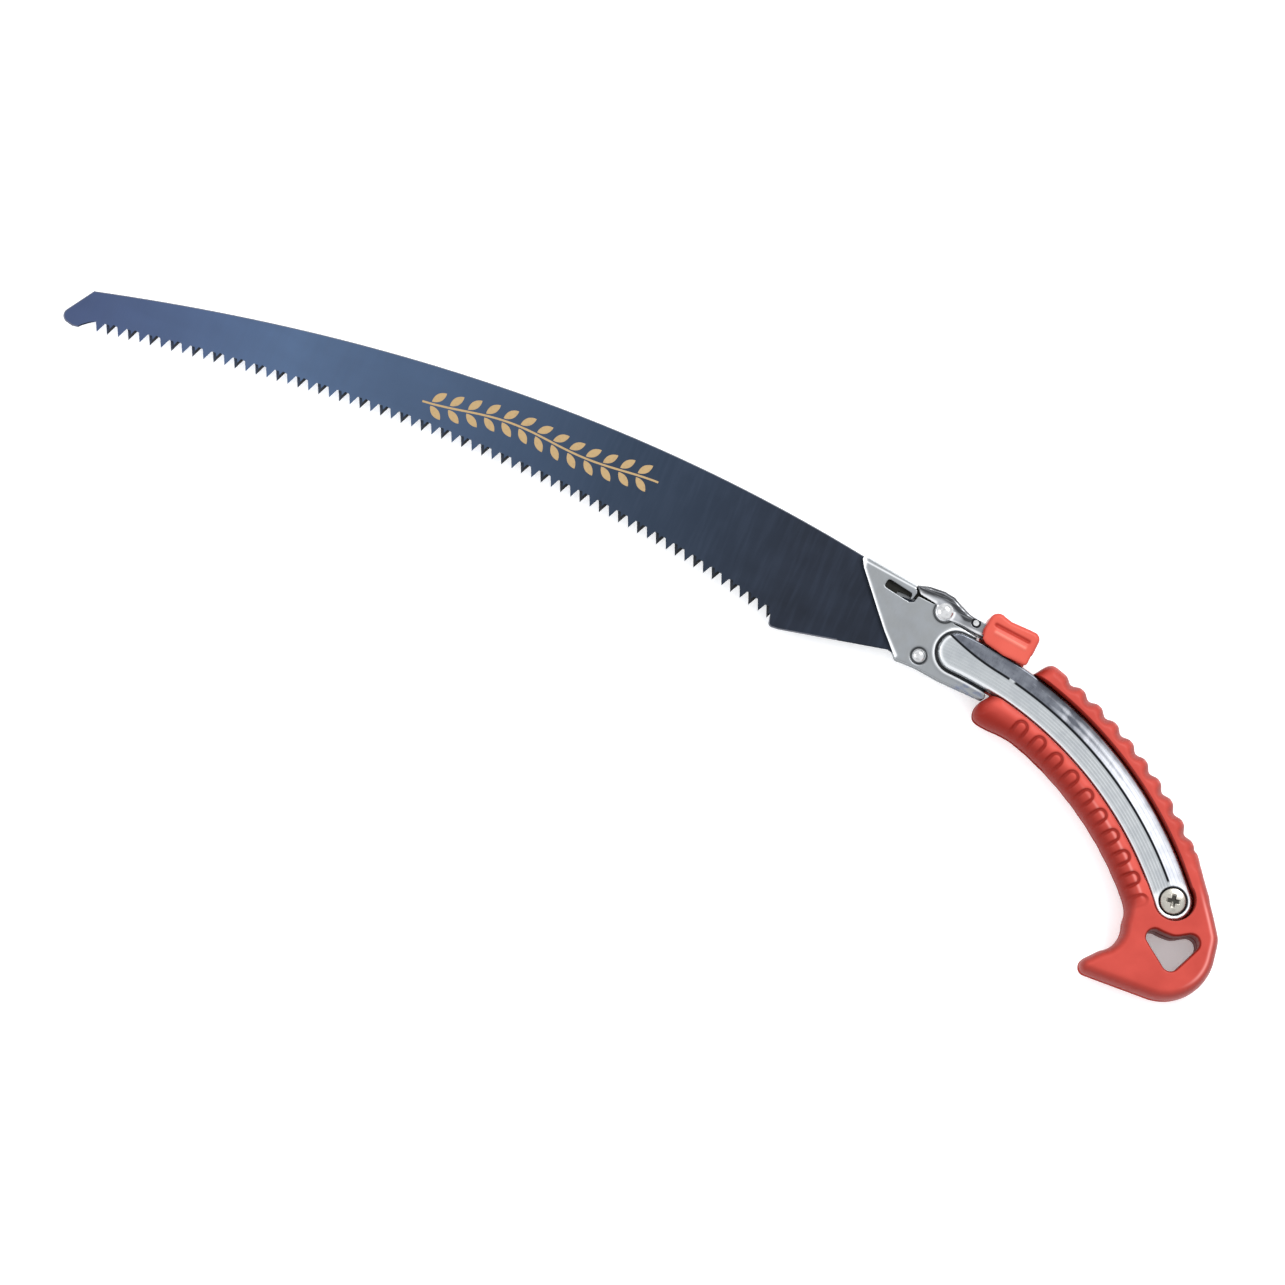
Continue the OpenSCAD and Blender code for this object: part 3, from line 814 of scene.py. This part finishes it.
def frame_marks(px, py, pz):
    """Where a side plate is polished, carries a painted dark line on its crest, a painted highlight at an
    edge, painted shade in a groove or round a ring, or is stained.
    """
    pr, pa = polar(px, py)
    arm = arm_distance(px, py)
    raised = step(PLATE_OUT + 0.2, PLATE_OUT + 1.5, pz)
    off = crease_offset(px, py)
    from_screw = around(SCREW_AT, px, py)
    from_lever = around(LEVER_AT, px, py)
    # painted highlights along the plate's edges
    edge = bump(path_distance(FRONT_EDGE, px, py) - 0.3, 0.6)
    edge = edge + 0.7 * bump(path_distance(TOP_EDGE, px, py) - 1.3, 0.35)
    edge = edge + 0.9 * bump(arm - LIP_AT, 0.6) * step(81, 84, pa) * (1 - raised)
    edge = edge + 0.7 * bump(arm - 7.6, 0.6) * raised * (off < 0)
    edge = edge + step(9.4, 8.6, from_screw) * step(6.6, 7.0, from_screw) * step(42.5, 41, pa)
    # painted shade in the groove along the arm's foot
    groove = bump(arm - 9.2, 0.45) * step(80, 82, pa) * step(4.5, 3.2, pz)
    # painted shade round the pivot ring, the lever rivet and the screw's recess
    rings = bump(np.hypot(px, py) - PIVOT_RING_R, 0.5) + bump(from_lever - 4.9, 0.45) * (py < 24)
    rings = rings + step(6.9, 6.5, from_screw)
    return {
        "polish": raised,
        "crest": np.clip(off, -3, 3),
        # painted dark reflection along the crest
        "painted_crest_line": raised * step(42.5, 42.9, pa) * step(93, 92, pa) * step(0.35, 0.5, np.abs(pa - 79.6)),
        "radius": pr - ARM_R,
        "turn": pa,
        "tail": step(16, 22, px) * (pr < ARM_R - 8) * step(PLATE_OUT + 0.6, PLATE_OUT + 0.1, pz),
        "edge": np.clip(edge, 0, 1) * (pz > PLATE_OUT - 0.5),
        "crease_shade": np.clip(groove + rings, 0, 1),
    }


# ------------------------------ grip

FINGER = [(35.4, -4.4), (31.8, -9.4), (31.5, -13.8), (33.4, -17.2), (39.8, -18.1)]
FINGER += [on_arc(155.3, 76.6), on_arc(156.1, 74.6)]
FINGER += [on_arc(FINGER_R, a) for a in np.arange(73, 37.9, -2)]
FINGER += [on_arc(172, a) for a in np.arange(38, 80, 2.5)] + [on_arc(172, 80.3)]
BACK_FRONT = [on_arc(181, 78.6), on_arc(186.2, 77.6), (52.9, 17.6), (55.0, 19.7), (57.4, 20.3)]
BACK = BACK_FRONT + [on_arc(BACK_R, a) for a in np.arange(74.5, 44, -1.5)]
BACK += [on_arc(BACK_R - 0.8, 43), on_arc(BACK_R - 1.8, 41), on_arc(BACK_R - 1.8, 38)]
BACK += [on_arc(181, a) for a in np.arange(38, 78, 2.5)]
POMMEL = arc(ARC_C, BACK_R - 1.8, 43.5, 33.2, 8) + arc((150.5, -76.2), 23, 12, -90, 24)
POMMEL += arc((122.4, -96.8), 4.1, -92, -228, 12) + arc((118.5, -78.3), 11.6, -60, 26, 12)
POMMEL += [on_arc(156.1, 40.6), on_arc(158, 42.5), on_arc(166, 45), on_arc(ARM_R, 46)]
HEART = [((144.3, -74.2), 3.9, 70, 218), ((154.9, -81.4), 4.0, -138, -20), ((159.9, -70.2), 4.0, -25, 120)]
HEART_NOTCH = [(153.1, -69.9), (150.7, -70.5)]
HEART_HOLE = softened([p for lobe in HEART for p in arc(*lobe, 8)] + HEART_NOTCH, 1)
CHANNEL_HALF = 9.2
POCKET_AT, POCKET_R = on_arc(ARM_R + 0.3, SCREW_A + 0.1), 9.5
WEB_HALF_W, WEB_HALF_T = 9.45, 1.2
SLOT_HALF_T = 1.5
PAD_FIRST, PAD_STEP, PAD_COUNT = 74.5, 3.69, 10
RIB_FIRST, RIB_STEP = 71.2, 3.1


def pad_depth(x, y):
    """How deep the finger pads lie: a groove round each, which runs out at the inner edge."""
    r, a = polar(x, y)
    which = np.clip(np.round((PAD_FIRST - a) / PAD_STEP), 0, PAD_COUNT - 1)
    across = r * np.radians(a - (PAD_FIRST - which * PAD_STEP))
    inside = 2.75 - np.hypot(np.maximum(r - 162.8, 0), across)
    floor = 0.25 * step(0, 1, inside) * step(155.5, 158, r)
    return floor + 0.85 * bump(inside, 0.72) * step(156.5, 160.5, r)


def rib_depth(x, y):
    """How deep the hollows between the ribs lie."""
    r, a = polar(x, y)
    wave = 0.5 - 0.5 * np.cos(np.radians((a - RIB_FIRST) / RIB_STEP * 360))
    wave = np.where(a > RIB_FIRST + RIB_STEP, 0, wave)
    return 1.9 * wave**1.4 * step(187.5, 192.5, r) * step(44.9, 46.0, a)


def slot_outline():
    """What the folded blade sweeps: its lower edge turned by the fold, and all behind it."""
    margin = 1.6
    run = [(x, belly_y(x) - margin) for x in (-14, HEEL_X)]
    run += [(x, tooth_y(x) - margin) for x in range(-80, -321, -16)]
    run += [(-320, 60), (-14, 60)]
    c, s = math.cos(math.radians(FOLD)), math.sin(math.radians(FOLD))
    return [(c * px - s * py, s * px + c * py) for px, py in run]


def grip_side():
    """One moulded grip half: finger side, back and pommel round a channel for the side plate."""
    size = (0.4, 0.42, 0.42)
    x, y, z, low = handle_block((127, 198), (21, 86.5), (-0.6, 12), size)
    r, a = polar(x, y)
    finger = domed(outline_distance(softened(FINGER), x, y), z, HALF_T - 0.1, 9.0)
    finger = finger + pad_depth(x, y)
    back = domed(outline_distance(softened(BACK), x, y), z, HALF_T - 0.1, 7.0)
    back = back + rib_depth(x, y)
    pommel = domed(outline_distance(softened(POMMEL), x, y), z, HALF_T, 5.5)
    shape = join(join(finger, back, 0.5), pommel, 2.0)
    shape = cut(shape, outline_distance(HEART_HOLE, x, y), 1.4)
    along = np.maximum(np.abs(r - ARM_R - 0.1) - CHANNEL_HALF, np.maximum(SCREW_A - a, a - 95))
    channel = np.minimum(along, around(POCKET_AT, x, y) - POCKET_R)
    shape = cut(shape, np.maximum(channel, WEB_HALF_T - z), 0.5)
    beside = np.maximum(np.abs(r - ARM_R) - WEB_HALF_W, z - WEB_HALF_T)
    web = np.maximum(beside, np.maximum(a - 83.9, 42 - a))
    shape = np.minimum(shape, web)
    shape = cut(shape, around(SCREW_AT, x, y) - SLEEVE_R, 0.1)
    slot = outline_distance(slot_outline(), x, y)
    shape = cut(shape, np.maximum(slot, z - SLOT_HALF_T), 0.15)
    seam = 0.35 * bump(z, 0.5)
    shape = common(shape + seam * (channel > 0.5), z - HALF_T, 0.3)
    shape = common(shape, 0.025 - z, 0.05)
    points, faces = surface(shape, low, size)
    points = from_handle_block(points)
    return points, faces, grip_marks(*points.T)


def grip_marks(px, py, pz):
    """Where a grip half takes painted shade in its hollows, paler painted highlights, or a bright painted
    highlight.
    """
    pr, turn = polar(px, py)
    finger_side = step(170, 166, pr) * step(40, 42, turn)
    rim = step(0.2, 0.65, pad_depth(px, py)) * finger_side
    inner = step(165.5, 157.5, pr) * finger_side
    in_hole = step(0.6, -0.2, outline_distance(HEART_HOLE, px, py))
    web = step(184, 186, pr) * step(3, 2, pz)
    # Painted shade: pad grooves, the inner finger edge, the sides near the middle, the hole's walls and
    # the web beside the back.
    deep = rim + 0.95 * inner + 0.5 * step(3.5, 0, pz) + in_hole + web
    # painted highlight on the rib tops, and below on the finger side's upper face near the arm
    ribs = step(0.1, 0.0, rib_depth(px, py)) * step(192, 194, pr) * step(4, 8, pz)
    pale = 0.5 * finger_side * step(162.5, 165, pr) * step(8, 10, pz) * (1 - rim)
    # painted highlight inside the pommel's edge and along the pads
    painted_shine = 0.75 * bump(outline_distance(softened(POMMEL, 3), px, py) + 3.8, 0.6) * step(8.5, 10, pz)
    painted_shine = painted_shine * step(152, 162, px) * step(-92, -80, py)
    painted_shine = painted_shine + 0.6 * bump(pr - 163.6, 0.6) * step(64, 54, turn) * step(41, 43, turn) * (1 - rim)
    marks = {"hollow": deep, "painted_highlight": 0.5 * ribs + pale, "painted_shine": painted_shine}
    return {name: np.clip(values, 0, 1) for name, values in marks.items()}


# ------------------------------ lever, cap and fasteners

ROOF = [(-12.6, 28.8), (-7.4, 30.4), (-0.4, 31.1), (4.7, 30.4), (8.2, 28.6), (13.2, 26.5)]
LEVER_WALL = ROOF + [(16.6, 25.2), (21.5, 25), (40, 25), (40, 19.6), (21.5, 19), (6.6, 19.4)]
LEVER_WALL += [(-2.6, 24), (-10, 25), (-12.6, 27.4)]


def lever():
    """The bent sheet lever: two walls, a rolled roof, and a boss round its rivet."""
    size = 0.26
    half, inner_half, sheet = 4.2, 3.0, 1.2
    low, high = (-14, 16.5, -4.9), (41.5, 32.5, 4.9)
    x, y, z = block(low, high, size)
    wall = outline_distance(LEVER_WALL, x, y)
    wall = join(wall, around(LEVER_AT, x, y) - 4.6, 0.8)
    outer = common(wall, np.abs(z) - half, 0.3 + 1.7 * step(20, 12, x))
    roof = outline_distance(ROOF + [(px, py - sheet) for px, py in ROOF[::-1]], x, y)
    shape = cut(outer, np.maximum(np.abs(z) - inner_half, -roof), 0.25)
    spring_end = around(SPRING_AT, x, y)
    shape = cut(shape, np.maximum(spring_end - 2.1, 3.55 - np.abs(z)), 0.12)
    for at, radius in ((LEVER_AT, 1.85), (SPRING_AT, 1.35), (CAP_PIN_AT, 1.3)):
        shape = cut(shape, around(at, x, y) - radius, 0.1)
    points, faces = surface(shape, low, size)
    px, py = points[:, 0], points[:, 1]
    from_roof = path_distance(ROOF, px, py)
    # painted dark reflection on the roof's roll, and painted shade at half strength towards the rear
    roll = step(5.0, 3.2, from_roof) * step(17, 14, px) + 0.5 * step(9, 13, px)
    # painted highlights round the boss and along the lower edges
    rim = bump(around(LEVER_AT, px, py) - 4.3, 0.5) * (py < 24)
    low_edge = bump(path_distance([(-12, 25.6), (-2.6, 24.6)], px, py), 0.9)
    low_edge = low_edge + 0.7 * bump(path_distance([(7.5, 20), (21.5, 19.7)], px, py), 0.6)
    # painted shade in the spring's recess
    recess = step(2.35, 2.0, around(SPRING_AT, px, py))
    roll = np.clip(roll, 0, 1)
    return points, faces, {"roll": roll, "edge": np.clip(rim + low_edge, 0, 1), "recess": recess}


CAP = arc((26.4, 27.1), 4.2, 165, 60, 10) + [(32, 29.9), (40.7, 29.9)]
CAP += arc((43, 26.4), 3.4, 80, -5, 8) + arc((43.6, 15.6), 2, -10, -90, 6)
CAP += [(33.8, 13.9), (24.4, 15.9), (22.2, 17.4), (21.6, 22)]
CAP_GROOVE = [(26.0, 25.7), (42.0, 24.5)]
CAP_RIDGE = [(27.0, 22.5), (41.4, 21.1)]


def thumb_cap():
    """The thumb cap: open below, slit for the lever's walls, with a groove over a ridge on each side."""
    size = 0.3
    half, inner_half, wall = 8.6, 7.2, 1.4
    low, high = (20, 12, -9.6), (48, 33, 9.6)
    x, y, z = block(low, high, size)
    outline = outline_distance(CAP, x, y)
    shape = common(outline, np.abs(z) - half, 2.4)
    groove = path_distance(CAP_GROOVE, x, y)
    ridge = path_distance(CAP_RIDGE, x, y)
    on_face = step(6.0, 7.4, np.abs(z))
    shape = shape + on_face * (bump(groove, 0.8) - 0.6 * bump(ridge, 0.95))
    inside = np.maximum(outline + wall, np.abs(z) - inner_half)
    opening = np.maximum(np.maximum(np.abs(x - 34) - 14, y - 19.6), np.abs(z) - inner_half)
    core = np.maximum(np.maximum(np.abs(z) - 2.9, outline + 1.0), 20 - y)
    shape = cut(shape, np.maximum(np.minimum(inside, opening), -core), 0.4)
    beside = np.abs(np.abs(z) - 3.6) - 0.72
    slits = np.maximum(np.maximum(beside, np.abs(x - 30.2) - 10.4), np.abs(y - 21.8) - 3.45)
    shape = cut(shape, slits, 0.1)
    points, faces = surface(shape, low, size)
    px, py, pz = points.T
    groove = path_distance(CAP_GROOVE, px, py)
    ridge = path_distance(CAP_RIDGE, px, py)
    face = step(6.5, 7.5, np.abs(pz))
    # Painted shade in the groove and painted highlight on the ridge.
    return points, faces, {"hollow": bump(groove, 0.8) * face, "painted_highlight": bump(ridge, 0.8) * face}


def rivet(at, shank_r, grip_half, head_r, head_h):
    """A rivet with a domed head on each side."""
    ball = (head_r**2 + head_h**2) / (2 * head_h)
    steps, edge = 8, 0.12
    dome = []
    for i in range(steps + 1):
        a = math.asin(head_r / ball) * i / steps
        dome.append((ball * math.sin(a), grip_half + head_h - ball + ball * math.cos(a)))
    dome[-1] = (head_r - edge, dome[-1][1] + edge)
    half = dome + [(head_r, grip_half + edge), (head_r, grip_half), (shank_r, grip_half)]
    return lathe(half + [(r, -z) for r, z in half[::-1]], at)


HEAD_R, HEAD_TOP, HEAD_BALL = 6.0, 7.3, 16.0
CROSS_TURN, CROSS_FLOOR = 12, 5.6


def screw(bottom, shank_bottom):
    """A domed cross-head screw. With no shank it is the nut that takes the screw."""
    size = 0.16
    at, reach = SCREW_AT, HEAD_R + 0.6
    low, high = (at[0] - reach, at[1] - reach, bottom - 0.6), (at[0] + reach, at[1] + reach, 7.9)
    x, y, z = block(low, high, size)
    r = around(at, x, y)
    dome = np.sqrt(r**2 + (z - HEAD_TOP + HEAD_BALL) ** 2) - HEAD_BALL
    shape = common(common(r - HEAD_R, dome, 0.5), bottom - z, 0.2)
    c, s = math.cos(math.radians(CROSS_TURN)), math.sin(math.radians(CROSS_TURN))
    u, v = c * (x - at[0]) + s * (y - at[1]), -s * (x - at[0]) + c * (y - at[1])
    floor = CROSS_FLOOR + 0.35 * r
    wing_reach, wing_half = 3.1, 0.75
    for p, q in ((u, v), (v, u)):
        wing = np.maximum(np.abs(p) - wing_reach, np.abs(q) - wing_half - 0.12 * (z - CROSS_FLOOR))
        shape = cut(shape, np.maximum(wing, floor - z), 0.12)
    if shank_bottom is None:
        shape = cut(shape, np.maximum(r - 2.55, z - 5.2), 0.1)
    points, faces = surface(shape, low, size)
    r = around(at, points[:, 0], points[:, 1])
    below = HEAD_BALL - np.sqrt(r**2 + (points[:, 2] - HEAD_TOP + HEAD_BALL) ** 2)
    # painted shade in the cross
    hollow = step(0.25, 0.7, below) * (points[:, 2] > 5.4)
    if shank_bottom is None:
        return points, faces, hollow
    shank = lathe([(0, bottom + 0.1), (2.5, bottom + 0.1), (2.5, shank_bottom + 0.4), (2.1, shank_bottom),
                   (0, shank_bottom)], at, 40)
    points, faces = merged([(points, faces), shank])
    return points, faces, np.append(hollow, np.zeros(len(points) - len(hollow)))


def merged(parts):
    """Several closed meshes as one."""
    points, faces, count = [], [], 0
    for more, more_faces in parts:
        points.append(more)
        faces += [[i + count for i in face] for face in more_faces]
        count += len(more)
    return np.vstack(points), faces


def spring():
    """A real helix with one leg up to the roof and one towards the frame."""
    steps, turn_step, wire, radius, half = 84, 15, 0.43, 2.3, 1.4
    x, y = SPRING_AT
    leg_x, leg_drop = x - 3.1, 0.4
    path = [(leg_x, y - radius - leg_drop, -half)]
    for i in range(steps + 1):
        a = math.radians(turn_step * i - 90)
        path.append((x + radius * math.cos(a), y + radius * math.sin(a), half * (2 * i / steps - 1)))
    path.append((leg_x, y + radius - leg_drop, half))
    return tube(path, wire)


# ------------------------------ the saw


def place_blade():
    """The blade and the print on its left face."""
    points, faces = blade()
    faces = outward(points, faces)
    marks = blade_marks(points, faces)
    piece("saw_blade", points, faces, "blade", blade_finish(), ["blade"], marks, sharp=20)
    points, faces = sprig()
    piece("blade_print", points, faces, "blade", gold_finish(), [], sharp=30)


def place_handle():
    """The side plates, of which only the left has the window, and the two grip halves."""
    plated = frame_finish()
    points, faces, marks = frame_side(True)
    piece("side_plate_left", points, faces, "handle", plated, ["frame_left"], marks)
    points, faces, marks = frame_side(False)
    points, faces = mirrored(points, faces)
    piece("side_plate_right", points, faces, "handle", plated, ["frame_right"], marks)

    red = plastic_finish("red_plastic", (0.46, 0.060, 0.045), (0.20, 0.009, 0.004),
                         (0.72, 0.115, 0.085), 0.33)
    points, faces, marks = grip_side()
    piece("grip_half_left", points, faces, "handle", red, ["grip_left"], marks)
    points, faces = mirrored(points, faces)
    piece("grip_half_right", points, faces, "handle", red, ["grip_right"], marks)


def place_lever():
    """The lever, its cap and its spring."""
    points, faces, marks = lever()
    piece("sheet_lever", points, faces, "lever", lever_finish(), ["lock_lever"], marks)
    cap_red = plastic_finish("cap_plastic", (0.56, 0.095, 0.068), (0.34, 0.022, 0.013),
                             (0.82, 0.26, 0.20), 0.24)
    points, faces, marks = thumb_cap()
    piece("thumb_cap", points, faces, "lever", cap_red, ["lever_button"], marks)
    wire = metal_finish("spring_wire", (0.50, 0.50, 0.52), 0.22)
    points, faces = spring()
    piece("return_spring", points, outward(points, faces), "lever", wire, ["lever_spring"])


def place_fasteners(bright):
    """Both rivets, and the screw with its nut on the right side."""
    for node, sizes in (("pivot_rivet", ((0, 0), 2.0, PLATE_OUT, 2.9, 1.5)),
                        ("lever_rivet", (LEVER_AT, 1.8, 4.25, 3.7, 1.6))):
        points, faces = rivet(*sizes)
        piece(node + "_domed", points, outward(points, faces), "handle", bright,
              [node], sharp=40)
    nickel = metal_finish("nickel_screw", (0.47, 0.45, 0.40), 0.2)
    for name, node, shank in (("cross_screw", "handle_screw", -5.1), ("cross_nut", "barrel_nut", None)):
        points, faces, hollow = screw(4.0, shank)
        if shank is None:
            points, faces = mirrored(points, faces)
        faces = outward(points, faces)
        piece(name, points, faces, "handle", nickel, [node], {"hollow": hollow})


def finish_inner_parts(bright):
    """Materials for the frame's own nodes that stay as they are."""
    grey = metal_finish("tumbled_steel", (0.22, 0.22, 0.23), 0.38)
    # Painted shade: the pawl is made near black so that the window in the side plate looks dark.
    black = metal_finish("window_shade_steel", (0.018, 0.018, 0.016), 0.4)
    brass = metal_finish("turned_brass", (0.66, 0.48, 0.20), 0.28, turned=True)
    nylon = nylon_finish()
    kept = {"blade_bush": brass, "pivot_washer_left": nylon, "pivot_washer_right": nylon,
            "blade_stop": grey, "lock_pawl": black, "lever_sleeve": grey, "screw_sleeve": grey,
            "spring_pin": bright, "button_pin": bright}
    for name, material in kept.items():
        node = frame["nodes"][name]
        node.data.materials.clear()
        node.data.materials.append(material)


def build():
    """Every piece of the saw."""
    bright = metal_finish("bright_steel", (0.62, 0.62, 0.62), 0.12)
    place_blade()
    place_handle()
    place_lever()
    place_fasteners(bright)
    finish_inner_parts(bright)


def paper():
    """The white floor that the saw lies on."""
    mesh = bpy.data.meshes.new("floor")
    half = 6.0
    corners = [(-half, -half, 0), (half, -half, 0), (half, half, 0), (-half, half, 0)]
    mesh.from_pydata(corners, [], [(0, 1, 2, 3)])
    floor = bpy.data.objects.new("floor", mesh)
    finish = Finish("floor_paper", (0.98, 0.98, 0.98), 0.0, 0.8)
    finish.rougher(finish.noise(30, 2), 0.05)
    mesh.materials.append(finish.done(Emission_Color=(1, 1, 1, 1), Emission_Strength=0.25))
    bpy.context.scene.collection.objects.link(floor)


def lamp(name, azimuth, tilt, distance, size, power):
    """An area light, tilt degrees from straight above towards azimuth."""
    data = bpy.data.lights.new(name, "AREA")
    data.shape = "RECTANGLE"
    data.size, data.size_y = size
    data.energy = power
    made = bpy.data.objects.new(name, data)
    a, t = math.radians(azimuth), math.radians(tilt)
    away = Vector((math.cos(a) * math.sin(t), math.sin(a) * math.sin(t), math.cos(t)))
    made.location = away * distance
    made.rotation_mode = "QUATERNION"
    made.rotation_quaternion = away.to_track_quat("Z", "Y")
    bpy.context.scene.collection.objects.link(made)


def camera():
    """A long lens that looks down at the saw, a little from in front of straight above."""
    aim, distance = Vector((0.002, -0.0126, 0.011)), 12
    tilt, towards, roll = math.radians(10), math.radians(248.4), math.radians(23.4)
    sensor, view_width = 36, 0.5667
    lean = Matrix.Rotation(tilt, 3, Vector((-math.sin(towards), math.cos(towards), 0)))
    right = lean @ Vector((math.cos(roll), math.sin(roll), 0))
    up = lean @ Vector((-math.sin(roll), math.cos(roll), 0))
    back = lean @ Vector((0, 0, 1))
    data = bpy.data.cameras.new("camera")
    data.sensor_width = sensor
    data.lens = sensor * distance / view_width
    made = bpy.data.objects.new("camera", data)
    made.rotation_mode = "QUATERNION"
    made.rotation_quaternion = Matrix((right, up, back)).transposed().to_quaternion()
    made.location = aim + back * distance
    bpy.context.scene.collection.objects.link(made)
    bpy.context.scene.camera = made


def studio():
    """A white floor under a pale sky, two soft lamps, and the camera."""
    bpy.context.scene.view_settings.view_transform = "Standard"
    paper()
    world = bpy.data.worlds.new("studio")
    world.use_nodes = True
    sky = world.node_tree.nodes["Background"].inputs
    sky["Color"].default_value = (0.96, 0.975, 1.0, 1)
    sky["Strength"].default_value = 1.2
    bpy.context.scene.world = world
    lamp("key", 68, 46, 1.8, (0.9, 0.5), 18)
    lamp("fill", 200, 55, 2.2, (1.2, 0.8), 11)
    camera()


build()
studio()
